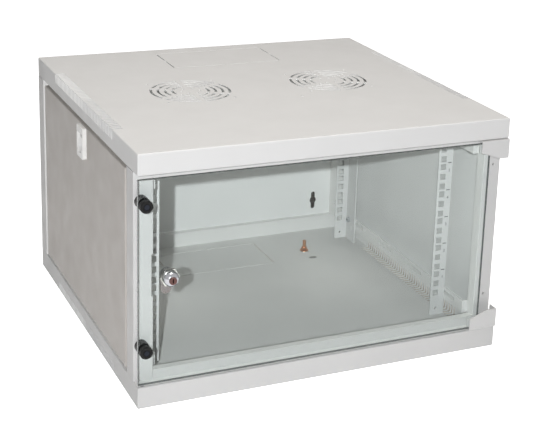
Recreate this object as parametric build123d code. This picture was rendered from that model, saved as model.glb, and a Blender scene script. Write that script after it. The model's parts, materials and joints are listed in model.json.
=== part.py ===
from build123d import *
import os

# Wall mount network cabinet, six units high, with a glass door.
# Millimetres. X runs to the right, Y to the back, Z up. The origin is the centre of the base's underside.

# Whole cabinet
width = 570.0
depth = 550.0
height = 368.0
sheet = 1.2
bend_radius = 2.0

# Roof tray and base tray
roof_rim = 31.0
base_rim = 32.0
front_return = 30.0
side_return = 11.0
rear_return = 13.0

# Vent slots that wrap round the long edges of both trays
vent_count = 40
vent_pitch = 8.0
vent_width = 4.0
vent_leg = 15.0

# Fan grilles in the roof
fan_x = 115.7
fan_y = 3.0
fan_ring_first = 28.0
fan_ring_step = 10.7
fan_ring_count = 4
fan_slot_width = 4.0
fan_spoke_width = 7.0
fan_spoke_count = 6
fan_spoke_start = 30.0
fan_core_circle = 15.0
fan_core_hole = 2.2
fan_screw_pitch = 105.0
fan_screw_hole = 2.2
cable_clip_hole_x = 36.7
cable_clip_hole_y = -74.5

# Knock-outs for cables in roof and floor
knockout_width = 188.0
knockout_length = 100.0
knockout_rear_inset = 30.0
knockout_slit = 1.8
knockout_bridge = 7.0
knockout_corner = 3.0

# Posts
post_width = 28.0
post_setback = 20.0
front_post_depth = 30.0
front_post_inner_depth = 19.0
rear_post_depth = 32.0
post_lip = 9.0
post_hole_side_inset = 12.0
post_hole_rise = 49.0
post_hole_drop = 46.0
post_hole_radius = 2.0
lock_notch_height = 62.0
lock_notch_side = 2.5
lock_notch_reach = 12.0

# Front beams between the posts
top_beam_height = 11.0
bottom_beam_height = 14.0
front_beam_shelf = 12.0

# Rails for 19 inch equipment
unit_height = 44.45
unit_count = 6
unit_hole_offsets = (6.35, 22.225, 38.1)
rail_column_spacing = 465.1
rail_square = 9.5
rail_sheet = 2.0
rail_inner_edge = 224.0
rail_outer_edge = 248.5
rail_flange = 35.0
rail_end_gap = 19.0
front_rail_setback = 96.0
rear_rail_setback = 96.5
rail_end_hole_x = 234.0
rail_end_hole_inset = 11.3
rail_end_hole_radius = 2.2
rail_tie_slot_inset = 23.5
rail_tie_slot_setback = 22.0
rail_tie_slot_width = 2.0
rail_tie_slot_length = 9.0

# Side beams that carry the rails
side_beam_height = 20.0
side_beam_rise = 12.0
side_beam_slot_height = 6.6
side_beam_slot_rise = 12.0
side_beam_mid_slot_length = 47.0
side_beam_end_slot_length = 60.0
side_beam_front_travel = 43.0
side_beam_rear_travel = 56.5
side_beam_hole_radius = 1.8
side_beam_hole_gap = 8.0

# Rail bolts and nuts
rail_bolt_radius = 3.0
rail_bolt_head_radius = 5.0
rail_bolt_head_height = 3.5
rail_bolt_setback = 11.0
rail_bolt_end = 2.0
rail_nut_flats = 10.0
rail_nut_height = 5.0

# Back panel keyholes
keyhole_side_inset = 62.0
keyhole_end_inset = 60.0
keyhole_round = 6.5
keyhole_slot_width = 8.0
keyhole_length = 33.0

# Earth stud on the floor
earth_side_inset = 119.2
earth_rear_inset = 95.0
earth_stud_radius = 3.0
earth_stud_height = 20.0
earth_washer_radius = 9.0
earth_washer_height = 1.2
earth_nut_flats = 10.0
earth_nut_height = 6.0
earth_flange_radius = 7.5
earth_flange_height = 1.5

# Door glass
glass_thickness = 5.0
glass_left_gap = 0.5
glass_right_gap = 30.5
glass_top_gap = 5.0
glass_edge_bevel = 0.5

# Hinge
hinge_side_inset = 8.0
hinge_setback = 5.0
hinge_pin_radius = 2.5
hinge_clearance = 0.05
hinge_pin_reach = 4.0
hinge_head_radius = 3.2
hinge_head_height = 1.8
hinge_washer_radius = 4.5
bracket_gap_bottom = 2.0
bracket_gap_top = 1.0
bracket_length = 46.0
bracket_height = 29.0
bracket_front = 2.5
bracket_wall = 1.5
bracket_side_depth = 18.0
bracket_end_height = 19.0
bracket_end_flat = 4.0
bracket_shoulder = 16.0
bracket_ear_reach = 11.5
bracket_clamp_inset = 1.5
bracket_clamp_length = 14.0
bracket_clamp_height = 18.0
bracket_clamp = 2.0
clamp_screw_radius = 1.5
clamp_screw_pitch = 7.0
clamp_screw_tail = 3.0

# Buffers
buffer_side_inset = 10.5
buffer_rise = 54.0
buffer_drop = 41.0
buffer_radius = 9.0
buffer_front_height = 8.0
buffer_front_bevel = 1.6
buffer_cup_radius = 4.6
buffer_cup_depth = 2.4
buffer_screw_radius = 2.0
buffer_screw_head_radius = 3.8
buffer_screw_head_height = 2.0
buffer_screw_depth = 10.0

# Lock
lock_side_inset = 47.0
lock_above_middle = 3.0
lock_barrel_radius = 9.5
lock_bezel_radius = 11.0
lock_bezel_height = 8.0
lock_bezel_round = 2.0
lock_plug_radius = 5.5
lock_plug_clearance = 0.05
lock_plug_proud = 0.8
lock_keyway_width = 1.4
lock_keyway_height = 6.5
lock_keyway_depth = 9.0
lock_nut_flats = 24.0
lock_nut_height = 4.0
lock_cam_gap = 0.5
lock_cam_thickness = 2.0
lock_cam_width = 16.0
lock_cam_length = 30.0
lock_cam_clearance = 0.7
cam_screw_radius = 2.0
cam_screw_depth = 6.0
cam_screw_head_radius = 4.0
cam_screw_head_height = 2.4

# Side panels
panel_front_gap = 8.0
panel_rear_gap = 10.0
panel_top_gap = 6.0
panel_bottom_gap = 4.0
panel_flange = 9.0
panel_hook_inset = 5.0
panel_hook_length = 40.0
panel_hook_reach = 14.0
panel_hook_end_inset = 75.0
panel_hook_clearance = 0.9

# Side latches
latch_ahead_of_middle = 14.5
latch_drop = 55.0
latch_width = 33.0
latch_height = 48.0
latch_proud = 6.0
latch_corner = 2.5
latch_box_width = 28.0
latch_box_height = 42.0
latch_box_depth = 18.0
latch_recess_width = 26.0
latch_recess_bottom = 7.0
latch_recess_top = 38.0
latch_tongue_width = 16.0
latch_tongue_thickness = 3.0
latch_tongue_gap = 2.0
latch_tongue_clear = 1.5
latch_tongue_rise = 10.0
latch_channel_rise = 4.0
latch_running_gap = 0.3
latch_grip_rise = 28.5
latch_grip_height = 3.0
latch_grip_proud = 2.0
latch_grip_side_gap = 0.6

# Places that follow from the sizes above
half_width = width / 2
half_depth = depth / 2
roof_bottom = height - roof_rim
front_face = -half_depth
post_face = front_face + post_setback
front_post_end = post_face + front_post_depth
front_post_inner_end = post_face + front_post_inner_depth
rear_post_start = half_depth - rear_post_depth
post_inner = half_width - post_width
post_hole_x = half_width - post_hole_side_inset
post_hole_heights = (base_rim + post_hole_rise, roof_bottom - post_hole_drop)
side_web_outer = rail_outer_edge + sheet
side_beam_tab = post_inner + post_lip
side_beam_bottom = base_rim + side_beam_rise
units_bottom = (height - unit_height * unit_count) / 2
front_rail_y = front_face + front_rail_setback
rear_rail_y = half_depth - rear_rail_setback
front_bolt_y = front_rail_y + rail_bolt_setback
rear_bolt_y = rear_rail_y - rail_bolt_setback
keyhole_x = half_width - keyhole_side_inset
keyhole_heights = (keyhole_end_inset, height - keyhole_end_inset)
earth_x = half_width - earth_side_inset
earth_y = half_depth - earth_rear_inset
glass_back = front_face + glass_thickness
glass_left = glass_left_gap - half_width
glass_right = half_width - glass_right_gap
glass_bottom = base_rim + bracket_gap_bottom + bracket_wall
glass_top = roof_bottom - glass_top_gap
hinge_x = half_width - hinge_side_inset
hinge_y = front_face + hinge_setback
buffer_x = buffer_side_inset - half_width
buffer_heights = (base_rim + buffer_rise, roof_bottom - buffer_drop)
lock_x = lock_side_inset - half_width
lock_z = height / 2 + lock_above_middle
lock_cam_front = post_face + sheet + lock_cam_gap
panel_front = front_post_end + panel_front_gap
panel_back = rear_post_start - panel_rear_gap
hook_x = half_width - panel_hook_inset
hook_places = (panel_front + panel_hook_end_inset, panel_back - panel_hook_end_inset)
latch_y = (panel_front + panel_back) / 2 - latch_ahead_of_middle
latch_bottom = roof_bottom - latch_drop
latch_middle = latch_bottom + latch_height / 2


def block(x0, x1, y0, y1, z0, z1):
    """A box given by its two ends along each axis."""
    return Pos((x0 + x1) / 2, (y0 + y1) / 2, (z0 + z1) / 2) * Box(abs(x1 - x0), abs(y1 - y0), abs(z1 - z0))


def side_block(side, x0, x1, y0, y1, z0, z1):
    """A box on the right side, or its twin on the left when side is -1."""
    return block(side * x0, side * x1, y0, y1, z0, z1)


def along_x(x, y, z, radius, length):
    """A cylinder that starts at x and runs along X."""
    return Pos(x + length / 2, y, z) * Rot(0, 90, 0) * Cylinder(radius, abs(length))


def along_y(x, y, z, radius, length):
    """A cylinder that starts at y and runs to the back."""
    return Pos(x, y + length / 2, z) * Rot(90, 0, 0) * Cylinder(radius, length)


def along_z(x, y, z, radius, length):
    """A cylinder that starts at z and runs up."""
    return Pos(x, y, z + length / 2) * Cylinder(radius, length)


def plate_profile(points, y, thickness):
    """A plate parallel to the front, from an outline of (x, z) points, that starts at y and runs to the back."""
    outline = Polyline(*[(x, y, z) for x, z in points], close=True)
    return extrude(make_face(outline), amount=thickness, dir=(0, 1, 0))


def save(node, *solids):
    """Write one node's STEP file from its solid, or from its separate solids."""
    shape = solids[0] if len(solids) == 1 else Compound(children=list(solids))
    export_step(shape, f"parts/{node}.step")


def tray(bottom, top, sheet_bottom):
    """A bent tray with a flat sheet on one side and a return lip round the open side."""
    shell = block(-half_width, half_width, front_face, half_depth, bottom, top)
    shell = fillet(shell.edges(), bend_radius)
    inside = block(
        -half_width + sheet, half_width - sheet, front_face + sheet, half_depth - sheet, bottom + sheet, top - sheet
    )
    lip_z = top - sheet if sheet_bottom else bottom
    opening = block(
        -half_width + side_return, half_width - side_return,
        front_face + front_return, half_depth - rear_return,
        lip_z - sheet, lip_z + 2 * sheet,
    )
    return shell - inside - opening


def vent_cutters(z0, z1):
    """Blocks that cut the slots round the two long edges of a tray."""
    first = -(vent_count - 1) * vent_pitch / 2
    cutters = []
    for side in (-1, 1):
        for index in range(vent_count):
            y = first + index * vent_pitch
            cutters.append(
                side_block(
                    side, half_width - vent_leg, half_width + vent_leg,
                    y - vent_width / 2, y + vent_width / 2, z0, z1,
                )
            )
    return cutters


def knockout_cutters(z):
    """Thin slits round the knock-out, with bridges left at its corners and in the middle of each side."""
    middle_y = half_depth - knockout_rear_inset - knockout_length / 2
    half_x = knockout_width / 2
    half_y = knockout_length / 2
    start = knockout_bridge / 2
    cutters = []
    for x_side in (-1, 1):
        for y_side in (-1, 1):
            y = middle_y + y_side * half_y
            cutters.append(
                block(
                    x_side * start, x_side * (half_x - knockout_corner),
                    y, y - y_side * knockout_slit, z - sheet, z + 2 * sheet,
                )
            )
            cutters.append(
                block(
                    x_side * half_x, x_side * (half_x - knockout_slit),
                    middle_y + y_side * start, y - y_side * knockout_corner, z - sheet, z + 2 * sheet,
                )
            )
    return cutters


def hinge_hole_cutters(z):
    """Holes for the hinge pins in a return lip, on both sides so the door can be hung either way."""
    radius = hinge_pin_radius + hinge_clearance
    return [along_z(side * hinge_x, hinge_y, z - sheet, radius, 3 * sheet) for side in (-1, 1)]


def fan_grille_cutters(x):
    """Ring slots, core holes and screw holes of one fan grille."""
    rings = Sketch()
    for index in range(fan_ring_count):
        radius = fan_ring_first + index * fan_ring_step
        rings += Circle(radius + fan_slot_width / 2) - Circle(radius - fan_slot_width / 2)
    spoke_length = 2 * (fan_ring_first + fan_ring_step * fan_ring_count)
    for index in range(fan_spoke_count // 2):
        angle = fan_spoke_start + index * 360 / fan_spoke_count
        rings -= Rot(0, 0, angle) * Rectangle(spoke_length, fan_spoke_width)
    bottom = height - 2 * sheet
    slots = Pos(x, fan_y, bottom) * extrude(rings, amount=3 * sheet)
    cutters = list(slots.solids())
    for place in PolarLocations(fan_core_circle, fan_spoke_count):
        centre = place.position
        cutters.append(along_z(x + centre.X, fan_y + centre.Y, bottom, fan_core_hole, 3 * sheet))
    for place in GridLocations(fan_screw_pitch, fan_screw_pitch, 2, 2):
        centre = place.position
        cutters.append(along_z(x + centre.X, fan_y + centre.Y, bottom, fan_screw_hole, 3 * sheet))
    return cutters


def make_roof():
    cutters = vent_cutters(height - vent_leg, height + vent_leg)
    cutters += knockout_cutters(height - sheet)
    cutters += hinge_hole_cutters(roof_bottom)
    for side in (-1, 1):
        cutters += fan_grille_cutters(side * fan_x)
    cutters.append(along_z(cable_clip_hole_x, cable_clip_hole_y, height - 2 * sheet, fan_screw_hole, 3 * sheet))
    return tray(roof_bottom, height, False) - cutters


def make_base():
    cutters = vent_cutters(-vent_leg, vent_leg)
    cutters += knockout_cutters(0)
    cutters += hinge_hole_cutters(base_rim - sheet)
    slot_side = sheet / 2 + panel_hook_clearance
    slot_end = panel_hook_length / 2 + panel_hook_clearance
    for side in (-1, 1):
        for y in hook_places:
            cutters.append(
                side_block(
                    side, hook_x - slot_side, hook_x + slot_side,
                    y - slot_end, y + slot_end, base_rim - 2 * sheet, base_rim + sheet,
                )
            )
    return tray(0, base_rim, True) - cutters


def make_back_panel():
    panel = block(-post_inner, post_inner, half_depth - sheet, half_depth, base_rim, roof_bottom)
    for x in (-keyhole_x, keyhole_x):
        for z in keyhole_heights:
            panel -= along_y(x, half_depth - 2 * sheet, z, keyhole_round, 3 * sheet)
            slot = Rot(0, 0, 90) * SlotOverall(keyhole_length, keyhole_slot_width)
            cutter = extrude(Plane.XZ * slot, amount=3 * sheet)
            panel -= Pos(x, half_depth + sheet, z) * cutter
    return panel


def lipped_post(side, face_y, inner_end, end_y):
    """A lipped channel with its face at face_y. Its inner leg ends at inner_end and its outer leg at end_y."""
    inward = 1 if end_y > face_y else -1
    post = side_block(side, post_inner, half_width, face_y, face_y + inward * sheet, base_rim, roof_bottom)
    post += side_block(side, post_inner, post_inner + sheet, face_y, inner_end, base_rim, roof_bottom)
    post += side_block(side, half_width - sheet, half_width, face_y, end_y, base_rim, roof_bottom)
    post += side_block(
        side, post_inner, post_inner + post_lip, inner_end - inward * sheet, inner_end, base_rim, roof_bottom
    )
    post += side_block(
        side, half_width - post_lip, half_width, end_y - inward * sheet, end_y, base_rim, roof_bottom
    )
    bends = post.edges().filter_by(Axis.Z).filter_by(
        lambda edge: abs(edge.center().Y - face_y) < sheet / 2 or (
            abs(edge.center().Y - end_y) < sheet / 2 and abs(abs(edge.center().X) - half_width) < sheet / 2
        )
    )
    return fillet(bends, bend_radius / 2)


def make_front_post(side):
    """A front post. The left one has the notch that the lock cam turns into."""
    post = lipped_post(side, post_face, front_post_inner_end, front_post_end)
    for z in post_hole_heights:
        post -= along_y(side * post_hole_x, post_face - sheet, z, post_hole_radius, 3 * sheet)
    if side > 0:
        return post
    return post - side_block(
        side, post_inner - sheet, post_inner + lock_notch_side, post_face - sheet, post_face + lock_notch_reach,
        lock_z - lock_notch_height / 2, lock_z + lock_notch_height / 2,
    )


def make_rear_post(side):
    return lipped_post(side, half_depth, rear_post_start, rear_post_start)


def make_front_beam(bottom, top, shelf_bottom):
    """An angle between the front posts, with its shelf at the height given."""
    beam = block(-post_inner, post_inner, post_face, post_face + sheet, bottom, top)
    return beam + block(
        -post_inner, post_inner, post_face, post_face + front_beam_shelf, shelf_bottom, shelf_bottom + sheet
    )


def side_beam_slots():
    """The (start, length) of the four slots of a side beam. The rail bolts run in the first and the last."""
    first = front_bolt_y - side_beam_front_travel
    last = rear_bolt_y - side_beam_rear_travel
    step = (last - first) / 3
    middle = side_beam_mid_slot_length
    end = side_beam_end_slot_length
    return [(first, end), (first + step, middle), (first + 2 * step, middle), (last, end)]


def slot_cutter(side, start, z, length):
    """A long slot through the web of a side beam."""
    slot = extrude(Plane.YZ * SlotOverall(length, side_beam_slot_height), amount=3 * sheet)
    return Pos(side * (rail_outer_edge + sheet / 2) - 1.5 * sheet, start + length / 2, z) * slot


def make_side_beam(side, upper):
    """A slotted angle between the posts, with end tabs on the posts' lips."""
    bottom = height - side_beam_bottom - side_beam_height if upper else side_beam_bottom
    top = bottom + side_beam_height
    slot_z = top - side_beam_slot_rise if upper else bottom + side_beam_slot_rise
    shelf = top - sheet if upper else bottom
    start = front_post_inner_end
    end = rear_post_start
    beam = side_block(side, rail_outer_edge, side_web_outer, start, end, bottom, top)
    beam += side_block(side, rail_outer_edge, side_beam_tab, start, end, shelf, shelf + sheet)
    for y0, y1 in ((start, start + sheet), (end - sheet, end)):
        beam += side_block(side, rail_outer_edge, side_beam_tab, y0, y1, bottom, top)
    for y, length in side_beam_slots():
        beam -= slot_cutter(side, y, slot_z, length)
    hole_y = rear_bolt_y - side_beam_rear_travel - side_beam_hole_gap
    return beam - along_x(side * (rail_outer_edge - sheet), hole_y, slot_z, side_beam_hole_radius, side * 3 * sheet)


def rail_bolt_heights():
    """The heights of the slots in the lower and the upper side beams."""
    low = side_beam_bottom + side_beam_slot_rise
    return (low, height - low)


def make_rail(side, face_y, inward):
    """A rail angle, its face with square holes at face_y and its flange running inward."""
    bottom = rail_end_gap
    top = height - rail_end_gap
    rail = side_block(side, rail_inner_edge, rail_outer_edge, face_y, face_y + inward * rail_sheet, bottom, top)
    rail += side_block(
        side, rail_outer_edge - rail_sheet, rail_outer_edge, face_y, face_y + inward * rail_flange, bottom, top
    )
    cutters = []
    column = rail_column_spacing / 2
    for unit in range(unit_count):
        for offset in unit_hole_offsets:
            z = units_bottom + unit * unit_height + offset
            cutters.append(
                side_block(
                    side, column - rail_square / 2, column + rail_square / 2,
                    face_y - inward * rail_sheet, face_y + 2 * inward * rail_sheet,
                    z - rail_square / 2, z + rail_square / 2,
                )
            )
    for z in (bottom + rail_end_hole_inset, top - rail_end_hole_inset):
        cutters.append(
            along_y(side * rail_end_hole_x, face_y - 2 * rail_sheet, z, rail_end_hole_radius, 4 * rail_sheet)
        )
    tie_y = face_y + inward * rail_tie_slot_setback
    for z in (bottom + rail_tie_slot_inset, top - rail_tie_slot_inset):
        cutters.append(
            side_block(
                side, rail_outer_edge - 2 * rail_sheet, rail_outer_edge + rail_sheet,
                tie_y - rail_tie_slot_width / 2, tie_y + rail_tie_slot_width / 2,
                z - rail_tie_slot_length / 2, z + rail_tie_slot_length / 2,
            )
        )
    bolt_y = face_y + inward * rail_bolt_setback
    for z in rail_bolt_heights():
        cutters.append(
            along_x(side * (rail_outer_edge - 2 * rail_sheet), bolt_y, z, rail_bolt_radius, side * 3 * rail_sheet)
        )
    return rail - cutters


def make_rail_bolts(side, bolt_y):
    """The two bolts of a rail, heads inside the cabinet."""
    seat = side * (rail_outer_edge - rail_sheet)
    shank = rail_sheet + sheet + rail_nut_height + rail_bolt_end
    bolts = []
    for z in rail_bolt_heights():
        bolt = along_x(seat, bolt_y, z, rail_bolt_radius, side * shank)
        bolts.append(bolt + along_x(seat, bolt_y, z, rail_bolt_head_radius, -side * rail_bolt_head_height))
    return bolts


def hex_plate(flats, thickness, hole_radius):
    """A hexagonal nut blank in the XY plane."""
    outline = RegularPolygon(flats / 2, 6, major_radius=False) - Circle(hole_radius)
    return extrude(outline, amount=thickness)


def make_rail_nuts(side, bolt_y):
    """The two nuts of a rail, outside the side beams."""
    nuts = []
    for z in rail_bolt_heights():
        nut = hex_plate(rail_nut_flats, rail_nut_height, rail_bolt_radius)
        nuts.append(Pos(side * side_web_outer, bolt_y, z) * Rot(0, side * 90, 0) * nut)
    return nuts


def make_earth_stud():
    return along_z(earth_x, earth_y, sheet, earth_stud_radius, earth_stud_height)


def make_earth_washer():
    washer = along_z(earth_x, earth_y, sheet, earth_washer_radius, earth_washer_height)
    return washer - along_z(earth_x, earth_y, sheet, earth_stud_radius, earth_washer_height)


def make_earth_nut():
    nut = hex_plate(earth_nut_flats, earth_nut_height, earth_stud_radius)
    nut += extrude(Circle(earth_flange_radius) - Circle(earth_stud_radius), amount=earth_flange_height)
    return Pos(earth_x, earth_y, sheet + earth_washer_height) * nut


def make_hinge_washer():
    washer = along_z(hinge_x, hinge_y, base_rim, hinge_washer_radius, bracket_gap_bottom)
    return washer - along_z(hinge_x, hinge_y, base_rim, hinge_pin_radius + hinge_clearance, bracket_gap_bottom)


def make_glass():
    glass = block(glass_left, glass_right, front_face, glass_back, glass_bottom, glass_top)
    glass = chamfer(glass.edges(), glass_edge_bevel)
    glass -= along_y(lock_x, front_face, lock_z, lock_barrel_radius, glass_thickness)
    for z in buffer_heights:
        glass -= along_y(buffer_x, front_face, z, buffer_screw_radius, glass_thickness)
    return glass


def bracket_edge(top):
    """The height of a bracket's flat edge: under the roof's lip, or over the base's lip."""
    return roof_bottom - bracket_gap_top if top else base_rim + bracket_gap_bottom


def make_hinge_bracket(top):
    """A bracket round the glass corner: front plate, side wall, end wall and clamp plate."""
    edge = bracket_edge(top)
    inward = -1 if top else 1
    left = half_width - bracket_length
    far = edge + inward * bracket_height
    outline = [
        (left, edge),
        (half_width, edge),
        (half_width, far),
        (half_width - bracket_shoulder, far),
        (left + bracket_end_flat, edge + inward * bracket_end_height),
        (left, edge + inward * bracket_end_height),
    ]
    front = front_face - bracket_front
    bracket = plate_profile(outline, front, bracket_front)
    wall_end = edge + inward * bracket_wall
    bracket += block(half_width - bracket_wall, half_width, front, front + bracket_side_depth, edge, far)
    bracket += block(left, half_width, front, glass_back + bracket_clamp, edge, wall_end)
    bracket += block(
        hinge_x - bracket_ear_reach, half_width, front, front + bracket_side_depth, edge, wall_end
    )
    clamp_right = glass_right - bracket_clamp_inset
    clamp_far = edge + inward * (bracket_wall + bracket_clamp_height)
    bracket += block(
        clamp_right - bracket_clamp_length, clamp_right, glass_back, glass_back + bracket_clamp, edge, clamp_far
    )
    for x, z in clamp_screw_places(top):
        bracket -= along_y(x, glass_back, z, clamp_screw_radius, bracket_clamp)
    return bracket - along_z(hinge_x, hinge_y, edge - 2 * bracket_wall, hinge_pin_radius, 4 * bracket_wall)


def clamp_screw_places(top):
    """The (x, z) places of the two set screws of a bracket."""
    inward = -1 if top else 1
    centre = glass_right - bracket_clamp_inset - bracket_clamp_length / 2
    z = bracket_edge(top) + inward * (bracket_wall + bracket_clamp_height / 2)
    return [(centre - clamp_screw_pitch / 2, z), (centre + clamp_screw_pitch / 2, z)]


def make_clamp_screws():
    screws = []
    for top in (False, True):
        for x, z in clamp_screw_places(top):
            screws.append(along_y(x, glass_back, z, clamp_screw_radius, bracket_clamp + clamp_screw_tail))
    return screws


def make_hinge_pin(top):
    """A pin that stands out of its bracket into the hole in the tray's lip, with a head inside the bracket."""
    edge = bracket_edge(top)
    if top:
        head = edge - bracket_wall - hinge_head_height
        pin = along_z(hinge_x, hinge_y, head, hinge_pin_radius, roof_bottom + hinge_pin_reach - head)
        return pin + along_z(hinge_x, hinge_y, head, hinge_head_radius, hinge_head_height)
    tip = base_rim - hinge_pin_reach
    head = edge + bracket_wall
    pin = along_z(hinge_x, hinge_y, tip, hinge_pin_radius, head + hinge_head_height - tip)
    return pin + along_z(hinge_x, hinge_y, head, hinge_head_radius, hinge_head_height)


def make_front_buffers():
    """Rubber caps on the front of the glass, cupped for the screw head."""
    buffers = []
    for z in buffer_heights:
        front = front_face - buffer_front_height
        cap = along_y(0, front, 0, buffer_radius, buffer_front_height)
        cap = chamfer(cap.edges().group_by(Axis.Y)[0], buffer_front_bevel)
        cap -= along_y(0, front, 0, buffer_cup_radius, buffer_cup_depth)
        cap -= along_y(0, front, 0, buffer_screw_radius, buffer_front_height)
        buffers.append(Pos(buffer_x, 0, z) * cap)
    return buffers


def make_rear_buffers():
    """Rubber stops between the glass and the post."""
    buffers = []
    for z in buffer_heights:
        stop = along_y(buffer_x, glass_back, z, buffer_radius, post_face - glass_back)
        buffers.append(stop - along_y(buffer_x, glass_back, z, buffer_screw_radius, buffer_screw_depth))
    return buffers


def make_buffer_screws():
    screws = []
    for z in buffer_heights:
        seat = front_face - buffer_front_height + buffer_cup_depth
        screw = along_y(buffer_x, seat, z, buffer_screw_radius, glass_back + buffer_screw_depth - seat)
        head = along_y(
            buffer_x, seat - buffer_screw_head_height, z, buffer_screw_head_radius, buffer_screw_head_height
        )
        screws.append(screw + head)
    return screws


def make_lock_body():
    """A barrel through the glass with a rounded bezel in front."""
    barrel_end = lock_cam_front - lock_cam_clearance
    bezel = along_y(0, front_face - lock_bezel_height, 0, lock_bezel_radius, lock_bezel_height)
    bezel = fillet(bezel.edges().group_by(Axis.Y)[0], lock_bezel_round)
    body = bezel + along_y(0, front_face, 0, lock_barrel_radius, barrel_end - front_face)
    bore_start = front_face - 2 * lock_bezel_height
    bore = along_y(0, bore_start, 0, lock_plug_radius + lock_plug_clearance, lock_cam_front - bore_start)
    return Pos(lock_x, 0, lock_z) * (body - bore)


def make_lock_nut():
    nut = hex_plate(lock_nut_flats, lock_nut_height, lock_barrel_radius)
    return Pos(lock_x, glass_back + lock_nut_height, lock_z) * Rot(90, 0, 0) * nut


def make_lock_plug():
    """The turning core with its keyway and the thread for the cam screw."""
    front = front_face - lock_bezel_height - lock_plug_proud
    plug = along_y(0, front, 0, lock_plug_radius, lock_cam_front - front)
    plug -= block(
        -lock_keyway_width / 2, lock_keyway_width / 2, front, front + lock_keyway_depth,
        -lock_keyway_height / 2, lock_keyway_height / 2,
    )
    plug -= along_y(0, lock_cam_front - cam_screw_depth, 0, cam_screw_radius, cam_screw_depth)
    return Pos(lock_x, 0, lock_z) * plug


def make_lock_cam():
    """The cam, which hangs straight down when the lock is open."""
    reach = lock_cam_length - lock_cam_width / 2
    cam = along_y(0, lock_cam_front, 0, lock_cam_width / 2, lock_cam_thickness)
    cam += along_y(0, lock_cam_front, -reach, lock_cam_width / 2, lock_cam_thickness)
    cam += block(
        -lock_cam_width / 2, lock_cam_width / 2, lock_cam_front, lock_cam_front + lock_cam_thickness, -reach, 0
    )
    cam -= along_y(0, lock_cam_front, 0, cam_screw_radius, lock_cam_thickness)
    return Pos(lock_x, 0, lock_z) * cam


def make_cam_screw():
    seat = lock_cam_front + lock_cam_thickness
    start = lock_cam_front - cam_screw_depth
    screw = along_y(lock_x, start, lock_z, cam_screw_radius, seat - start)
    return screw + along_y(lock_x, seat, lock_z, cam_screw_head_radius, cam_screw_head_height)


def make_side_panel(side):
    """A pan-shaped panel with hooks along its lower edge and an opening for the latch."""
    bottom = base_rim + panel_bottom_gap
    top = roof_bottom - panel_top_gap
    inner = half_width - panel_flange
    pan = side_block(side, inner, half_width, panel_front, panel_back, bottom, top)
    bends = pan.edges().filter_by(lambda edge: abs(edge.center().X) > half_width - sheet)
    corners = pan.edges().filter_by(Axis.X)
    pan = fillet(bends + corners, bend_radius)
    pan -= side_block(
        side, inner - sheet, half_width - sheet,
        panel_front + sheet, panel_back - sheet, bottom + sheet, top - sheet,
    )
    for y in hook_places:
        pan += side_block(
            side, hook_x - sheet / 2, hook_x + sheet / 2, y - panel_hook_length / 2, y + panel_hook_length / 2,
            bottom - panel_hook_reach, bottom + sheet,
        )
    return pan - side_block(
        side, half_width - 2 * sheet, half_width + sheet,
        latch_y - latch_box_width / 2, latch_y + latch_box_width / 2,
        latch_middle - latch_box_height / 2, latch_middle + latch_box_height / 2,
    )


def latch_tongue_faces():
    """The inner and outer faces of the latch tongue, which passes inside the roof's lip."""
    outer = half_width - side_return - latch_tongue_gap
    return (outer - latch_tongue_thickness, outer)


def make_latch_housing(side):
    """A framed box in the panel with a finger recess, round at the bottom, and a channel for the slider."""
    half = latch_width / 2
    outer = half_width + latch_proud
    frame = side_block(
        side, half_width, outer, latch_y - half, latch_y + half, latch_bottom, latch_bottom + latch_height
    )
    frame = fillet(frame.edges().filter_by(Axis.X), latch_corner)
    frame += side_block(
        side, half_width - latch_box_depth, half_width,
        latch_y - latch_box_width / 2, latch_y + latch_box_width / 2,
        latch_middle - latch_box_height / 2, latch_middle + latch_box_height / 2,
    )
    tongue_inner, tongue_outer = latch_tongue_faces()
    recess_radius = latch_recess_width / 2
    recess_floor = tongue_outer + latch_running_gap
    recess_depth = outer + latch_proud - recess_floor
    round_z = latch_bottom + latch_recess_bottom + recess_radius
    recess = along_x(side * recess_floor, latch_y, round_z, recess_radius, side * recess_depth)
    recess += side_block(
        side, recess_floor, recess_floor + recess_depth,
        latch_y - recess_radius, latch_y + recess_radius, round_z, latch_bottom + latch_recess_top,
    )
    channel_half = latch_tongue_width / 2 + latch_running_gap
    channel = side_block(
        side, tongue_inner - latch_running_gap, recess_floor,
        latch_y - channel_half, latch_y + channel_half,
        latch_bottom + latch_channel_rise, latch_bottom + 2 * latch_height,
    )
    return frame - recess - channel


def make_latch_slider(side):
    """The tongue with the finger grip. It rests low, clear of the roof, and slides up to lock the panel."""
    tongue_inner, tongue_outer = latch_tongue_faces()
    half = latch_tongue_width / 2
    slider = side_block(
        side, tongue_inner, tongue_outer, latch_y - half, latch_y + half,
        latch_bottom + latch_tongue_rise, roof_bottom - latch_tongue_clear,
    )
    grip_half = latch_recess_width / 2 - latch_grip_side_gap
    grip_bottom = latch_bottom + latch_grip_rise
    grip_top = grip_bottom + latch_grip_height
    grip_inner = tongue_outer + 2 * latch_running_gap
    bridge = side_block(
        side, tongue_outer, grip_inner, latch_y - half, latch_y + half, grip_bottom, grip_top
    )
    grip = side_block(
        side, grip_inner, half_width + latch_grip_proud,
        latch_y - grip_half, latch_y + grip_half, grip_bottom, grip_top,
    )
    return slider + bridge + grip


os.makedirs("parts", exist_ok=True)

save("roof", make_roof())
save("base", make_base())
save("back_panel", make_back_panel())
save("front_beam_top", make_front_beam(roof_bottom - top_beam_height, roof_bottom, roof_bottom - top_beam_height))
save("front_beam_bottom", make_front_beam(base_rim, base_rim + bottom_beam_height, base_rim + bottom_beam_height - sheet))

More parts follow.
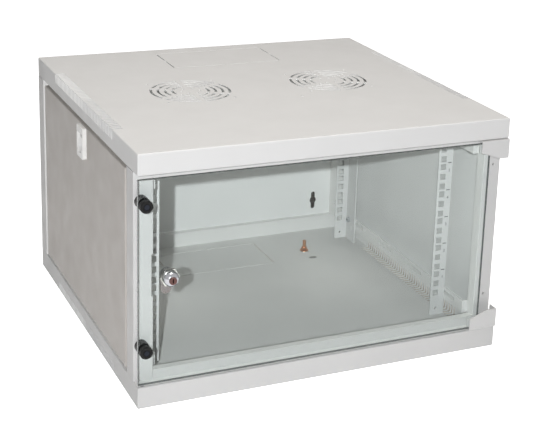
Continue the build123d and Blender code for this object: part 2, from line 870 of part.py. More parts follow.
for side_name, side in (("left", -1), ("right", 1)):
    save(f"front_post_{side_name}", make_front_post(side))
    save(f"rear_post_{side_name}", make_rear_post(side))
    save(f"side_beam_lower_{side_name}", make_side_beam(side, False))
    save(f"side_beam_upper_{side_name}", make_side_beam(side, True))
    for rail_name, face_y, bolt_y, inward in (
        ("front", front_rail_y, front_bolt_y, 1), ("rear", rear_rail_y, rear_bolt_y, -1)
    ):
        save(f"rail_{rail_name}_{side_name}", make_rail(side, face_y, inward))
        save(f"rail_bolts_{rail_name}_{side_name}", *make_rail_bolts(side, bolt_y))
        save(f"rail_nuts_{rail_name}_{side_name}", *make_rail_nuts(side, bolt_y))
    save(f"side_panel_{side_name}", make_side_panel(side))
    save(f"latch_housing_{side_name}", make_latch_housing(side))
    save(f"latch_slider_{side_name}", make_latch_slider(side))

save("earth_stud", make_earth_stud())
save("earth_washer", make_earth_washer())
save("earth_nut", make_earth_nut())
save("hinge_washer", make_hinge_washer())

save("glass_door", make_glass())
save("hinge_bracket_top", make_hinge_bracket(True))
save("hinge_bracket_bottom", make_hinge_bracket(False))
save("hinge_pin_top", make_hinge_pin(True))
save("hinge_pin_bottom", make_hinge_pin(False))
save("bracket_screws", *make_clamp_screws())
save("buffers_front", *make_front_buffers())
save("buffers_rear", *make_rear_buffers())
save("buffer_screws", *make_buffer_screws())
save("lock_body", make_lock_body())
save("lock_nut", make_lock_nut())
save("lock_plug", make_lock_plug())
save("lock_cam", make_lock_cam())
save("cam_screw", make_cam_screw())
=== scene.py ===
import json
import math

import bpy
from mathutils import Matrix, Vector


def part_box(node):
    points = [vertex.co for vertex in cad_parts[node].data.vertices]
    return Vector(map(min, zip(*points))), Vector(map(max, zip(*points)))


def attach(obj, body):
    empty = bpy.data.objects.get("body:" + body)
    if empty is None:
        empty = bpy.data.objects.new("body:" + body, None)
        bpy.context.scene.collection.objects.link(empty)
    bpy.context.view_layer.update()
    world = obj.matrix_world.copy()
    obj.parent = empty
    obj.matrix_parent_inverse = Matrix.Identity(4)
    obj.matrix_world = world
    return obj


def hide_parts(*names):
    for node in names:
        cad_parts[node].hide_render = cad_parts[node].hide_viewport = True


# A wall mount network cabinet with a glass door, photographed with a flash beside the camera.

MM = 0.001

# Camera, solved from the straight edges of the cabinet
CAMERA_PLACE = (-0.778013, -1.877849, 0.907645)
CAMERA_RIGHT = (0.899880, -0.433978, 0.043351)
CAMERA_UP = (0.083713, 0.269420, 0.959377)
CAMERA_BACK = (-0.428028, -0.859695, 0.278775)
CAMERA_LENS = 87.867
CAMERA_SHIFT = (-0.13636, -0.17818)

# Light
FLASH_PLACE = (-1.13, -2.5, 1.2)
FLASH_SIZE = 0.03
FLASH_POWER = 54.5
FLASH_TINT = (0.985, 1.0, 1.03)
SKY_PLACE = (-0.08, -0.35, 2.2)
SKY_SIZE = 0.9
SKY_POWER = 27.0
SKY_TINT = (1.0, 0.965, 0.92)
ROOM_LIGHT = 0.012
ROOM_TINT = (1.0, 0.93, 0.86)
FLOOR_SIZE = 24.0
# Beige with painted shade, on the floor under the cabinet and just beside its right side
UNDER_BEIGE_AND_SHADE = (0.5, 0.4, 0.31)
UNDER_EDGES = (("X", (-0.282, -0.278), (0.335, 0.29)), ("Y", (-0.2, -0.19), (0.27, 0.265)))

# Finishes
PAINT_TINT = (0.67, 0.665, 0.655)
# Painted shade: the base, frame and bracket paints are darker copies of the same paint
FRAME_PAINTED_SHADE = 0.9
BRACKET_PAINTED_SHADE = 0.92
# Painted shade: the side panels are painted darker than the front
SIDE_PAINTED_SHADE_TINT = (0.49, 0.46, 0.43)
# Painted light: faces that look into the cabinet are painted paler
INSIDE_PAINTED_LIGHT_TINT = (0.82, 0.815, 0.795)
WALL_PAINTED_LIGHT_TINT = (0.84, 0.84, 0.825)
PAINT_SHEEN = 0.11
RUBBER_SHEEN = 0.12
CABINET_MIDDLE = (0.0, 0.0, 0.184)
RAIL_TINT = (0.7, 0.7, 0.69)
INK_TINT = (0.035, 0.035, 0.035)
# Painted shade behind the keyholes
KEYHOLE_SHADE_TINT = (0.02, 0.012, 0.008)
GLASS_TINT = (0.978, 0.994, 0.989)
GLASS_GLOSS_TINT = (0.9, 0.95, 0.94)
GLASS_REFLECTION_INDEX = 1.38
GLASS_EDGE_TINT = (0.09, 0.1, 0.098)
GLASS_LIT_EDGE_TINT = (0.72, 0.76, 0.75)
BLACK_SCREW_TINT = (0.02, 0.022, 0.028)

# Print on the rails and on the floor, and painted shade behind the keyholes and in the screw recesses
PRINT_DEPTH = 0.00004
UNITS_BOTTOM = 0.05065
UNIT_HEIGHT = 0.04445
DASH_INNER = 0.2400
DASH_OUTER = 0.2465
DASH_HALF_WIDTH = 0.0006
DIGIT_DROP = 0.0125
DIGIT_SIZE = 0.0065
EARTH_MARK_PLACE = (0.168, 0.146)
EARTH_MARK_HALF = (0.0075, 0.0045)
KEYHOLE_CARD_HALF = (0.012, 0.022)
KEYHOLE_CARD_GAP = 0.004
UNIT_MARKS = 5
CROSS_ARM_SHARE = 0.28

# Lock
PLUG_CLEARANCE = 0.00005
BARREL_RADIUS = 0.0095
BORE_LENGTH = 0.2
ROUND_SEGMENTS = 64
DOME_SEGMENTS = 96
DOME_RINGS = 48
SMOOTH_ANGLE = math.radians(35.0)

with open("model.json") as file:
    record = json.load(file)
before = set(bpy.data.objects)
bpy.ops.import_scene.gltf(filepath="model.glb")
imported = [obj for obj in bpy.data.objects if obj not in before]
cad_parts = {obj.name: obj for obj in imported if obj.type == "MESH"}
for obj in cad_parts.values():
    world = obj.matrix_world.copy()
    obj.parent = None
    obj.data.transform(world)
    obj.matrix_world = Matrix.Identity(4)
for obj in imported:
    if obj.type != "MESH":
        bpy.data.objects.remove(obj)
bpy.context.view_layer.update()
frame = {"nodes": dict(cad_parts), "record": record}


# Materials

def new_material(name):
    """A material with a lone shader and its output."""
    material = bpy.data.materials.new(name)
    material.use_nodes = True
    nodes = material.node_tree.nodes
    shader = next(node for node in nodes if node.type == "BSDF_PRINCIPLED")
    return material, material.node_tree, shader


def object_noise(tree, scale, detail=4.0, roughness=0.55, stretch=(1.0, 1.0, 1.0)):
    """Noise that keeps its place on the object."""
    place = tree.nodes.new("ShaderNodeTexCoord")
    mapping = tree.nodes.new("ShaderNodeMapping")
    mapping.inputs["Scale"].default_value = stretch
    noise = tree.nodes.new("ShaderNodeTexNoise")
    noise.inputs["Scale"].default_value = scale
    noise.inputs["Detail"].default_value = detail
    noise.inputs["Roughness"].default_value = roughness
    tree.links.new(place.outputs["Object"], mapping.inputs["Vector"])
    tree.links.new(mapping.outputs["Vector"], noise.inputs["Vector"])
    return noise


def ramp(tree, source, low, high, low_color, high_color):
    """A colour that goes from low_color to high_color as the source goes from low to high."""
    node = tree.nodes.new("ShaderNodeValToRGB")
    node.color_ramp.elements[0].position = low
    node.color_ramp.elements[1].position = high
    node.color_ramp.elements[0].color = (*low_color, 1.0)
    node.color_ramp.elements[1].color = (*high_color, 1.0)
    tree.links.new(source, node.inputs["Fac"])
    return node.outputs["Color"]


def spread(tree, source, low, high, to_low, to_high):
    """A number that goes from to_low to to_high as the source goes from low to high."""
    node = tree.nodes.new("ShaderNodeMapRange")
    node.inputs["From Min"].default_value = low
    node.inputs["From Max"].default_value = high
    node.inputs["To Min"].default_value = to_low
    node.inputs["To Max"].default_value = to_high
    tree.links.new(source, node.inputs["Value"])
    return node.outputs["Result"]


def bump(tree, shader, height, strength, distance):
    """Bump on the shader, from a height."""
    node = tree.nodes.new("ShaderNodeBump")
    node.inputs["Strength"].default_value = strength
    node.inputs["Distance"].default_value = distance
    tree.links.new(height, node.inputs["Height"])
    tree.links.new(node.outputs["Normal"], shader.inputs["Normal"])


def vary_roughness(tree, shader, source, low_rough, high_rough):
    """Roughness on the shader that follows a noise."""
    tree.links.new(spread(tree, source, 0.3, 0.7, low_rough, high_rough), shader.inputs["Roughness"])


def shade(color, factor):
    """A colour made darker or lighter."""
    return tuple(min(1.0, part * factor) for part in color)


def looks_inside(tree):
    """A number: 1 on faces that look towards the middle of the cabinet, 0 on its outside."""
    place = tree.nodes.new("ShaderNodeTexCoord")
    from_middle = tree.nodes.new("ShaderNodeVectorMath")
    from_middle.operation = "SUBTRACT"
    from_middle.inputs[1].default_value = CABINET_MIDDLE
    along = tree.nodes.new("ShaderNodeVectorMath")
    along.operation = "DOT_PRODUCT"
    tree.links.new(place.outputs["Object"], from_middle.inputs[0])
    tree.links.new(from_middle.outputs["Vector"], along.inputs[0])
    tree.links.new(place.outputs["Normal"], along.inputs[1])
    return spread(tree, along.outputs["Value"], -0.01, 0.01, 1.0, 0.0)


def powder_coat(name, tint, inner_painted_light_tint=None, peel=0.35):
    """Stoved powder paint: a fine orange peel, with faint cloudiness and smudges. The inside may take a paler
    tint as painted light.
    """
    material, tree, shader = new_material(name)
    clouds = object_noise(tree, 14.0, detail=6.0)
    color = ramp(tree, clouds.outputs["Fac"], 0.3, 0.7, shade(tint, 0.985), shade(tint, 1.012))
    # Painted light: faces that look towards the middle of the cabinet take the paler tint
    if inner_painted_light_tint:
        inner = ramp(tree, clouds.outputs["Fac"], 0.3, 0.7, shade(inner_painted_light_tint, 0.97), shade(inner_painted_light_tint, 1.02))
        mix = tree.nodes.new("ShaderNodeMix")
        mix.data_type = "RGBA"
        tree.links.new(looks_inside(tree), mix.inputs[0])
        tree.links.new(color, mix.inputs[6])
        tree.links.new(inner, mix.inputs[7])
        color = mix.outputs[2]
    tree.links.new(color, shader.inputs["Base Color"])
    smudge = object_noise(tree, 34.0, detail=3.0)
    vary_roughness(tree, shader, smudge.outputs["Fac"], 0.36, 0.5)
    grain = object_noise(tree, 780.0, detail=2.0)
    bump(tree, shader, grain.outputs["Fac"], peel, 0.00022)
    shader.inputs["Specular IOR Level"].default_value = PAINT_SHEEN
    return material


def rubber(name):
    """Matt black rubber with a faint moulded bloom."""
    material, tree, shader = new_material(name)
    bloom = object_noise(tree, 160.0)
    color = ramp(tree, bloom.outputs["Fac"], 0.35, 0.7, (0.006, 0.006, 0.006), (0.016, 0.016, 0.016))
    tree.links.new(color, shader.inputs["Base Color"])
    vary_roughness(tree, shader, bloom.outputs["Fac"], 0.32, 0.46)
    bump(tree, shader, bloom.outputs["Fac"], 0.15, 0.0001)
    shader.inputs["Specular IOR Level"].default_value = RUBBER_SHEEN
    return material


def plated_metal(name, tint, low_rough, high_rough, turned=False):
    """Plated steel or brass, with fine turning or brushing marks."""
    material, tree, shader = new_material(name)
    stretch = (1.0, 26.0, 1.0) if turned else (1.0, 1.0, 14.0)
    marks = object_noise(tree, 130.0, stretch=stretch)
    color = ramp(tree, marks.outputs["Fac"], 0.3, 0.7, shade(tint, 0.86), shade(tint, 1.06))
    tree.links.new(color, shader.inputs["Base Color"])
    vary_roughness(tree, shader, marks.outputs["Fac"], low_rough, high_rough)
    bump(tree, shader, marks.outputs["Fac"], 0.08, 0.00005)
    shader.inputs["Metallic"].default_value = 1.0
    return material


def moulded_plastic(name, tint, low_rough=0.32, high_rough=0.46):
    """Moulded plastic with a fine spark-eroded grain."""
    material, tree, shader = new_material(name)
    clouds = object_noise(tree, 60.0)
    color = ramp(tree, clouds.outputs["Fac"], 0.3, 0.7, shade(tint, 0.95), shade(tint, 1.02))
    tree.links.new(color, shader.inputs["Base Color"])
    grain = object_noise(tree, 1300.0, detail=1.0)
    vary_roughness(tree, shader, grain.outputs["Fac"], low_rough, high_rough)
    bump(tree, shader, grain.outputs["Fac"], 0.2, 0.00008)
    return material


def glass_face(tree):
    """Tinted see-through glass, with a weak reflection where light enters it."""
    clear = tree.nodes.new("ShaderNodeBsdfTransparent")
    clear.inputs["Color"].default_value = (*GLASS_TINT, 1.0)
    gloss = tree.nodes.new("ShaderNodeBsdfGlossy")
    gloss.inputs["Color"].default_value = (*GLASS_GLOSS_TINT, 1.0)
    gloss.inputs["Roughness"].default_value = 0.02
    fresnel = tree.nodes.new("ShaderNodeFresnel")
    fresnel.inputs["IOR"].default_value = GLASS_REFLECTION_INDEX
    geometry = tree.nodes.new("ShaderNodeNewGeometry")
    entering = tree.nodes.new("ShaderNodeMath")
    entering.operation = "SUBTRACT"
    entering.use_clamp = True
    tree.links.new(fresnel.outputs["Fac"], entering.inputs[0])
    tree.links.new(geometry.outputs["Backfacing"], entering.inputs[1])
    face = tree.nodes.new("ShaderNodeMixShader")
    tree.links.new(entering.outputs["Value"], face.inputs["Fac"])
    tree.links.new(clear.outputs["BSDF"], face.inputs[1])
    tree.links.new(gloss.outputs["BSDF"], face.inputs[2])
    return face.outputs["Shader"]


def glass_edge(tree, rightness):
    """The ground edge: dark grey, with painted light making it pale on the hinge side."""
    edge = tree.nodes.new("ShaderNodeBsdfPrincipled")
    edge.inputs["Roughness"].default_value = 0.22
    streaks = object_noise(tree, 220.0)
    darkest = shade(GLASS_EDGE_TINT, 0.7)
    dark = ramp(tree, streaks.outputs["Fac"], 0.3, 0.7, darkest, shade(GLASS_EDGE_TINT, 1.4))
    mix = tree.nodes.new("ShaderNodeMix")
    mix.data_type = "RGBA"
    # Painted light: the edge that faces the hinge side takes the pale tint
    mix.inputs[7].default_value = (*GLASS_LIT_EDGE_TINT, 1.0)
    tree.links.new(spread(tree, rightness, 0.4, 0.6, 0.0, 1.0), mix.inputs[0])
    tree.links.new(dark, mix.inputs[6])
    tree.links.new(mix.outputs[2], edge.inputs["Base Color"])
    return edge.outputs["BSDF"]


def door_glass(name):
    """Clear toughened glass: see-through on its front and back, ground all round its edge."""
    material = bpy.data.materials.new(name)
    material.use_nodes = True
    tree = material.node_tree
    tree.nodes.clear()
    output = tree.nodes.new("ShaderNodeOutputMaterial")
    place = tree.nodes.new("ShaderNodeTexCoord")
    split = tree.nodes.new("ShaderNodeSeparateXYZ")
    tree.links.new(place.outputs["Normal"], split.inputs["Vector"])
    size = tree.nodes.new("ShaderNodeMath")
    size.operation = "ABSOLUTE"
    tree.links.new(split.outputs["Y"], size.inputs[0])
    on_face = tree.nodes.new("ShaderNodeMath")
    on_face.operation = "GREATER_THAN"
    on_face.inputs[1].default_value = 0.9
    tree.links.new(size.outputs["Value"], on_face.inputs[0])
    whole = tree.nodes.new("ShaderNodeMixShader")
    tree.links.new(on_face.outputs["Value"], whole.inputs["Fac"])
    tree.links.new(glass_edge(tree, split.outputs["X"]), whole.inputs[1])
    tree.links.new(glass_face(tree), whole.inputs[2])
    tree.links.new(whole.outputs["Shader"], output.inputs["Surface"])
    return material


SLOT_MATERIALS = {
    "roof_paint": powder_coat("roof_paint", PAINT_TINT, INSIDE_PAINTED_LIGHT_TINT),
    # Painted shade: the base and frame paint is darkened from the same paint
    "base_paint": powder_coat("base_paint", shade(PAINT_TINT, FRAME_PAINTED_SHADE), INSIDE_PAINTED_LIGHT_TINT),
    "back_paint": powder_coat("back_paint", PAINT_TINT, WALL_PAINTED_LIGHT_TINT),
    "frame_paint": powder_coat("frame_paint", shade(PAINT_TINT, FRAME_PAINTED_SHADE), INSIDE_PAINTED_LIGHT_TINT),
    "beam_paint": powder_coat("beam_paint", PAINT_TINT, INSIDE_PAINTED_LIGHT_TINT),
    # Painted shade: the side panels take the darker tint outside
    "panel_paint": powder_coat("panel_paint", SIDE_PAINTED_SHADE_TINT, WALL_PAINTED_LIGHT_TINT),
    "rail_paint": powder_coat("rail_paint", RAIL_TINT),
    # Painted shade: the bracket paint is darkened from the same paint
    "bracket_paint": powder_coat("bracket_paint", shade(PAINT_TINT, BRACKET_PAINTED_SHADE)),
    "glass": door_glass("glass"),
    "rubber": rubber("rubber"),
    "screw_steel": plated_metal("screw_steel", (0.62, 0.64, 0.66), 0.22, 0.38, turned=True),
    "pin_steel": plated_metal("pin_steel", (0.5, 0.5, 0.5), 0.28, 0.42),
    "lock_chrome": plated_metal("lock_chrome", (0.4, 0.4, 0.42), 0.05, 0.12, turned=True),
    "lock_steel": plated_metal("lock_steel", (0.6, 0.58, 0.55), 0.18, 0.3, turned=True),
    # Painted reflection: the plug's red-brown tint
    "lock_plug": plated_metal("lock_plug", (0.1, 0.055, 0.05), 0.08, 0.16, turned=True),
    # Painted shade: the cam's dark tint
    "lock_cam": plated_metal("lock_cam", (0.17, 0.145, 0.145), 0.16, 0.28),
    "latch_plastic": moulded_plastic("latch_plastic", (0.76, 0.75, 0.73)),
    "slider_plastic": moulded_plastic("slider_plastic", (0.8, 0.79, 0.77)),
    "earth_brass": plated_metal("earth_brass", (0.62, 0.33, 0.2), 0.2, 0.34, turned=True),
    "earth_washer": plated_metal("earth_washer", (0.8, 0.8, 0.78), 0.3, 0.45, turned=True),
    "hinge_nylon": moulded_plastic("hinge_nylon", (0.78, 0.78, 0.75)),
}
NODE_MATERIALS = {"buffer_screws": plated_metal("black_screw", BLACK_SCREW_TINT, 0.12, 0.2, turned=True)}


def dress_nodes():
    """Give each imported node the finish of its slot."""
    for part in frame["record"]["subparts"]:
        node = frame["nodes"][part["node"]]
        material = NODE_MATERIALS.get(part["node"], SLOT_MATERIALS[part["material_slot"]])
        for slot in node.material_slots:
            slot.material = material


dress_nodes()


# Details

def plain_finish(name, tint, low_rough, high_rough):
    """Print or shadow: one dark tint with a faint unevenness."""
    material, tree, shader = new_material(name)
    grain = object_noise(tree, 300.0)
    color = ramp(tree, grain.outputs["Fac"], 0.3, 0.7, shade(tint, 0.8), shade(tint, 1.25))
    tree.links.new(color, shader.inputs["Base Color"])
    vary_roughness(tree, shader, grain.outputs["Fac"], low_rough, high_rough)
    return material


INK = plain_finish("ink", INK_TINT, 0.5, 0.7)
# Painted shade for the dark inside screw recesses
RECESS_SHADE = plain_finish("recess", (0.03, 0.03, 0.03), 0.4, 0.6)
EARTH_MARK = plain_finish("earth_mark", (0.3, 0.3, 0.28), 0.5, 0.6)


def open_edit(piece):
    """Select the whole mesh of a piece for editing."""
    bpy.ops.object.select_all(action="DESELECT")
    piece.select_set(True)
    bpy.context.view_layer.objects.active = piece
    bpy.ops.object.mode_set(mode="EDIT")
    bpy.ops.mesh.select_all(action="SELECT")


def close_edit():
    """Leave editing with nothing selected."""
    bpy.ops.object.mode_set(mode="OBJECT")
    bpy.ops.object.select_all(action="DESELECT")


def dress(piece, name, material, body):
    """Name a new piece, paint it, and hang it on the body that it rides on."""
    piece.name = name
    piece.data.materials.clear()
    piece.data.materials.append(material)
    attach(piece, body)


def add_box(name, low, high, material, body):
    """A small block between two corners, in metres."""
    bpy.ops.object.select_all(action="DESELECT")
    bpy.ops.mesh.primitive_cube_add(size=1.0)
    piece = bpy.context.object
    open_edit(piece)
    bpy.ops.transform.resize(value=[top - bottom for bottom, top in zip(low, high)])
    bpy.ops.transform.translate(value=[(top + bottom) / 2 for bottom, top in zip(low, high)])
    close_edit()
    dress(piece, name, material, body)


def add_digit(name, text, place, size, material, body):
    """A printed digit on a face that looks to the front, centred on a place."""
    bpy.ops.object.select_all(action="DESELECT")
    bpy.ops.object.text_add()
    piece = bpy.context.object
    piece.data.body = text
    piece.data.size = size
    piece.data.extrude = PRINT_DEPTH
    piece.data.align_x = "CENTER"
    piece.data.align_y = "CENTER"
    piece.data.resolution_u = 3
    bpy.ops.object.convert(target="MESH")
    piece = bpy.context.object
    open_edit(piece)
    bpy.ops.transform.rotate(value=-math.pi / 2, orient_axis="X", center_override=(0.0, 0.0, 0.0))
    bpy.ops.transform.translate(value=place)
    bpy.ops.mesh.remove_doubles(threshold=0.000001)
    bpy.ops.mesh.normals_make_consistent(inside=False)
    close_edit()
    dress(piece, name, material, body)


def mark_rails():
    """A dash at each unit boundary of the front rails, and the number of the unit below it."""
    for side_name, side in (("left", -1), ("right", 1)):
        low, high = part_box(f"rail_front_{side_name}")
        face = low[1]
        for unit in range(1, UNIT_MARKS + 1):
            z = UNITS_BOTTOM + unit * UNIT_HEIGHT
            ends = sorted((side * DASH_INNER, side * DASH_OUTER))
            add_box(
                f"unit_dash_{side_name}_{unit}",
                (ends[0], face - PRINT_DEPTH, z - DASH_HALF_WIDTH),
                (ends[1], face + PRINT_DEPTH, z + DASH_HALF_WIDTH),
                INK, f"rail_front_{side_name}",
            )
            add_digit(
                f"unit_number_{side_name}_{unit}", str(unit),
                (side * (DASH_INNER + DASH_OUTER) / 2, face, z - DIGIT_DROP), DIGIT_SIZE,
                INK, f"rail_front_{side_name}",
            )


def add_cross_recess(name, place, reach, normal, body):
    """A dark cross of painted shade in a screw head, where its recess is. The normal is the axis, 0 or 1,
    that the head looks along.
    """
    for index, other in enumerate((2, 1 - normal)):
        half = [reach * CROSS_ARM_SHARE] * 3
        half[other] = reach
        half[normal] = PRINT_DEPTH
        low = [place[axis] - half[axis] for axis in range(3)]
        high = [place[axis] + half[axis] for axis in range(3)]
        add_box(f"{name}_{index}", low, high, RECESS_SHADE, body)


def recess_screws():
    """Painted shade in the cross recesses of the rail bolts and of the cam screw."""
    for end in ("front", "rear"):
        for side_name, side in (("left", -1), ("right", 1)):
            low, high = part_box(f"rail_bolts_{end}_{side_name}")
            inner = high[0] if side < 0 else low[0]
            y = (low[1] + high[1]) / 2
            radius = (high[1] - low[1]) / 2
            for level, z in (("low", low[2] + radius), ("high", high[2] - radius)):
                add_cross_recess(
                    f"bolt_cross_{end}_{side_name}_{level}", (inner, y, z), radius * 0.5, 0,
                    f"rail_{end}_{side_name}",
                )
    low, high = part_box("cam_screw")
    centre = ((low[0] + high[0]) / 2, high[1], (low[2] + high[2]) / 2)
    add_cross_recess("cam_screw_cross", centre, (high[0] - low[0]) * 0.28, 1, "lock_core")


def mark_earth():
    """The small oval earth mark printed on the floor in front of the stud."""
    bpy.ops.object.select_all(action="DESELECT")
    bpy.ops.mesh.primitive_cylinder_add(vertices=32, radius=1.0, depth=1.0)
    piece = bpy.context.object
    floor_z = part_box("earth_washer")[0][2]
    open_edit(piece)
    bpy.ops.transform.resize(value=(EARTH_MARK_HALF[0], EARTH_MARK_HALF[1], PRINT_DEPTH * 2))
    bpy.ops.transform.translate(value=(EARTH_MARK_PLACE[0], EARTH_MARK_PLACE[1], floor_z))
    close_edit()
    dress(piece, "earth_mark", EARTH_MARK, "cabinet")


def cut_bore(piece, centre, radius):
    """Cut the plug's bore through a piece of the lock."""
    bpy.ops.object.select_all(action="DESELECT")
    bpy.ops.mesh.primitive_cylinder_add(vertices=ROUND_SEGMENTS, radius=radius, depth=BORE_LENGTH)
    bore = bpy.context.object
    open_edit(bore)
    bpy.ops.transform.rotate(value=math.pi / 2, orient_axis="X", center_override=(0.0, 0.0, 0.0))
    bpy.ops.transform.translate(value=centre)
    close_edit()
    piece.select_set(True)
    bpy.context.view_layer.objects.active = piece
    cut = piece.modifiers.new("bore", "BOOLEAN")
    cut.operation = "DIFFERENCE"
    cut.solver = "EXACT"
    cut.object = bore
    bpy.ops.object.modifier_apply(modifier="bore")
    bpy.data.objects.remove(bore, do_unlink=True)


def add_dome(name, centre, glass_front, radius, proud):
    """The lock's domed bezel: the front half of a flattened ball, seated on the glass."""
    bpy.ops.object.select_all(action="DESELECT")
    bpy.ops.mesh.primitive_uv_sphere_add(segments=DOME_SEGMENTS, ring_count=DOME_RINGS, radius=radius)
    dome = bpy.context.object
    open_edit(dome)
    bpy.ops.transform.rotate(value=math.pi / 2, orient_axis="X", center_override=(0.0, 0.0, 0.0))
    bpy.ops.transform.resize(value=(1.0, proud / radius, 1.0))
    bpy.ops.transform.translate(value=(centre[0], glass_front, centre[2]))
    bpy.ops.mesh.bisect(
        plane_co=(centre[0], glass_front, centre[2]), plane_no=(0.0, 1.0, 0.0),
        use_fill=True, clear_outer=True,
    )
    close_edit()
    dome.name = name
    return dome


def add_barrel(name, centre, start, end, radius):
    """The lock's barrel through the glass."""
    bpy.ops.object.select_all(action="DESELECT")
    bpy.ops.mesh.primitive_cylinder_add(vertices=ROUND_SEGMENTS, radius=radius, depth=end - start)
    barrel = bpy.context.object
    open_edit(barrel)
    bpy.ops.transform.rotate(value=math.pi / 2, orient_axis="X", center_override=(0.0, 0.0, 0.0))
    bpy.ops.transform.translate(value=(centre[0], (start + end) / 2, centre[2]))
    close_edit()
    barrel.name = name
    return barrel


def dome_lock():
    """Replace the lock body by a domed bezel and its barrel."""
    low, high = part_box("lock_body")
    glass_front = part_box("glass_door")[0][1]
    centre = tuple((bottom + top) / 2 for bottom, top in zip(low, high))
    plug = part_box("lock_plug")
    bore = (plug[1][0] - plug[0][0]) / 2 + PLUG_CLEARANCE
    dome = add_dome("lock_bezel", centre, glass_front, (high[0] - low[0]) / 2, glass_front - low[1])
    barrel = add_barrel("lock_barrel", centre, glass_front, high[1], BARREL_RADIUS)
    for piece in (dome, barrel):
        cut_bore(piece, centre, bore)
        open_edit(piece)
        bpy.ops.mesh.normals_make_consistent(inside=False)
        close_edit()
        piece.select_set(True)
        bpy.context.view_layer.objects.active = piece
        bpy.ops.object.shade_smooth_by_angle(angle=SMOOTH_ANGLE)
        dress(piece, piece.name, SLOT_MATERIALS["lock_chrome"], "door")
    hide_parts("lock_body")


mark_rails()
recess_screws()
mark_earth()
dome_lock()


# Room, light and camera

def under_cabinet(tree):
    """A number: 0 on the floor under the cabinet, seen through vents and slits, and 1 elsewhere."""
    place = tree.nodes.new("ShaderNodeTexCoord")
    split = tree.nodes.new("ShaderNodeSeparateXYZ")
    tree.links.new(place.outputs["Object"], split.inputs["Vector"])
    covered = None
    for axis, low, high in UNDER_EDGES:
        for start, end in (low, high):
            side = spread(tree, split.outputs[axis], start, end, 0.0, 1.0)
            if covered is None:
                covered = side
                continue
            both = tree.nodes.new("ShaderNodeMath")
            both.operation = "MULTIPLY"
            tree.links.new(covered, both.inputs[0])
            tree.links.new(side, both.inputs[1])
            covered = both.outputs["Value"]
    return spread(tree, covered, 0.0, 1.0, 1.0, 0.0)


def seen_or_mirrored(tree):
    """A number: 1 for what is seen straight, in a mirror or through glass, and 0 for what gives light."""
    path = tree.nodes.new("ShaderNodeLightPath")
    total = path.outputs["Is Camera Ray"]
    for kind in ("Is Glossy Ray", "Is Transmission Ray"):
        either = tree.nodes.new("ShaderNodeMath")
        either.operation = "MAXIMUM"
        tree.links.new(total, either.inputs[0])
        tree.links.new(path.outputs[kind], either.inputs[1])
        total = either.outputs["Value"]
    return total


def make_stage():
    """A white floor that runs out of view on every side, beige with painted shade under the cabinet and just
    beside its right side.
    """
    bpy.ops.object.select_all(action="DESELECT")
    bpy.ops.mesh.primitive_plane_add(size=FLOOR_SIZE, location=(0.0, 0.0, 0.0))
    floor = bpy.context.object
    floor.name = "floor"
    material, tree, shader = new_material("floor_white")
    mottle = object_noise(tree, 3.0)
    color = ramp(tree, mottle.outputs["Fac"], 0.3, 0.7, (0.88, 0.88, 0.88), (0.91, 0.91, 0.91))
    shader.inputs["Roughness"].default_value = 0.9
    output = next(node for node in tree.nodes if node.type == "OUTPUT_MATERIAL")
    glow = tree.nodes.new("ShaderNodeEmission")
    glow.inputs["Color"].default_value = (1.0, 1.0, 1.0, 1.0)
    strength = tree.nodes.new("ShaderNodeMath")
    strength.operation = "MULTIPLY"
    add = tree.nodes.new("ShaderNodeAddShader")
    open_floor = under_cabinet(tree)
    tree.links.new(seen_or_mirrored(tree), strength.inputs[0])
    tree.links.new(open_floor, strength.inputs[1])
    tree.links.new(strength.outputs["Value"], glow.inputs["Strength"])
    # Painted shade: the floor under the cabinet takes the darker beige
    mix = tree.nodes.new("ShaderNodeMix")
    mix.data_type = "RGBA"
    mix.inputs[6].default_value = (*UNDER_BEIGE_AND_SHADE, 1.0)
    tree.links.new(open_floor, mix.inputs[0])
    tree.links.new(color, mix.inputs[7])
    tree.links.new(mix.outputs[2], shader.inputs["Base Color"])
    tree.links.new(shader.outputs["BSDF"], add.inputs[0])
    tree.links.new(glow.outputs["Emission"], add.inputs[1])
    tree.links.new(add.outputs["Shader"], output.inputs["Surface"])
    floor.data.materials.append(material)


def make_world():
    """A dim warm room that is white where the camera sees it, straight, in a mirror or through glass."""
    world = bpy.data.worlds.new("room")
    bpy.context.scene.world = world
    world.use_nodes = True
    tree = world.node_tree
    tree.nodes.clear()
    output = tree.nodes.new("ShaderNodeOutputWorld")
    room = tree.nodes.new("ShaderNodeBackground")
    room.inputs["Color"].default_value = (*ROOM_TINT, 1.0)
    room.inputs["Strength"].default_value = ROOM_LIGHT
    white = tree.nodes.new("ShaderNodeBackground")
    white.inputs["Color"].default_value = (1.0, 1.0, 1.0, 1.0)
    white.inputs["Strength"].default_value = 1.0
    mix = tree.nodes.new("ShaderNodeMixShader")
    tree.links.new(seen_or_mirrored(tree), mix.inputs["Fac"])
    tree.links.new(room.outputs["Background"], mix.inputs[1])
    tree.links.new(white.outputs["Background"], mix.inputs[2])
    tree.links.new(mix.outputs["Shader"], output.inputs["Surface"])


def area_lamp(name, place, target, size, power, tint):
    """A square lamp aimed at a point."""
    data = bpy.data.lights.new(name, "AREA")
    data.shape = "SQUARE"
    data.size = size
    data.energy = power
    data.color = tint
    lamp = bpy.data.objects.new(name, data)
    bpy.context.scene.collection.objects.link(lamp)
    aim = Vector(target) - Vector(place)
    lamp.matrix_world = Matrix.Translation(place) @ aim.to_track_quat("-Z", "Y").to_matrix().to_4x4()
    return lamp


def make_lamps():
    """The flash beside the camera, and a soft lamp overhead."""
    area_lamp("flash", FLASH_PLACE, (0.0, 0.0, 0.18), FLASH_SIZE, FLASH_POWER, FLASH_TINT)
    area_lamp("ceiling", SKY_PLACE, (0.0, 0.0, 0.0), SKY_SIZE, SKY_POWER, SKY_TINT)


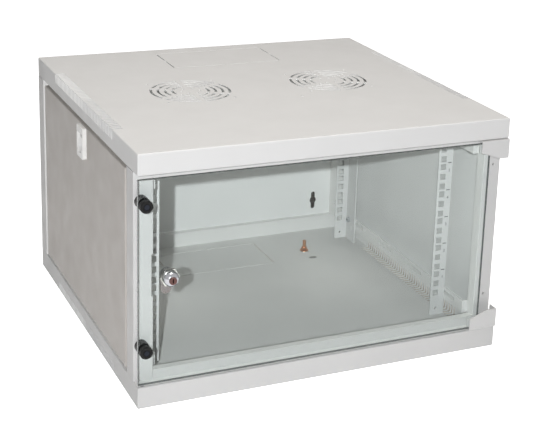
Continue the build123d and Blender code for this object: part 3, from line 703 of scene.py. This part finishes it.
def make_camera():
    """The camera at the place that the photo was taken from."""
    data = bpy.data.cameras.new("photo_camera")
    data.sensor_width = 36.0
    data.lens = CAMERA_LENS
    data.shift_x, data.shift_y = CAMERA_SHIFT
    data.clip_end = 60.0
    camera = bpy.data.objects.new("photo_camera", data)
    bpy.context.scene.collection.objects.link(camera)
    turn = Matrix((CAMERA_RIGHT, CAMERA_UP, CAMERA_BACK)).transposed()
    camera.matrix_world = Matrix.Translation(CAMERA_PLACE) @ turn.to_4x4()
    bpy.context.scene.camera = camera


def make_keyhole_cards():
    """Painted shade: dark cards behind the keyholes, seen only from the front, for the dark that shows
    through them.
    """
    material, tree, shader = new_material("keyhole_painted_shade")
    grain = object_noise(tree, 90.0)
    color = ramp(tree, grain.outputs["Fac"], 0.3, 0.7, KEYHOLE_SHADE_TINT, shade(KEYHOLE_SHADE_TINT, 1.6))
    tree.links.new(color, shader.inputs["Base Color"])
    output = next(node for node in tree.nodes if node.type == "OUTPUT_MATERIAL")
    geometry = tree.nodes.new("ShaderNodeNewGeometry")
    clear = tree.nodes.new("ShaderNodeBsdfTransparent")
    mix = tree.nodes.new("ShaderNodeMixShader")
    tree.links.new(geometry.outputs["Backfacing"], mix.inputs["Fac"])
    tree.links.new(shader.outputs["BSDF"], mix.inputs[1])
    tree.links.new(clear.outputs["BSDF"], mix.inputs[2])
    tree.links.new(mix.outputs["Shader"], output.inputs["Surface"])
    card_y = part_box("back_panel")[1][1] + KEYHOLE_CARD_GAP
    for mount in frame["record"]["mounts"]:
        if mount["name"] != "wall_keyholes":
            continue
        half_x = mount["dims"]["spacing_x_mm"] * MM / 2
        half_z = mount["dims"]["spacing_y_mm"] * MM / 2
        for x in (-half_x, half_x):
            for z in (mount["pos_m"][2] - half_z, mount["pos_m"][2] + half_z):
                bpy.ops.object.select_all(action="DESELECT")
                bpy.ops.mesh.primitive_plane_add(size=2.0)
                card = bpy.context.object
                card.name = "keyhole_card"
                card.visible_shadow = False
                card.visible_diffuse = False
                card.visible_glossy = False
                open_edit(card)
                bpy.ops.transform.resize(value=(KEYHOLE_CARD_HALF[0], KEYHOLE_CARD_HALF[1], 1.0))
                bpy.ops.transform.rotate(value=-math.pi / 2, orient_axis="X", center_override=(0.0, 0.0, 0.0))
                bpy.ops.transform.translate(value=(x, card_y, z))
                close_edit()
                card.data.materials.append(material)


make_stage()
make_keyhole_cards()
make_world()
make_lamps()
make_camera()
bpy.context.scene.view_settings.view_transform = "Standard"
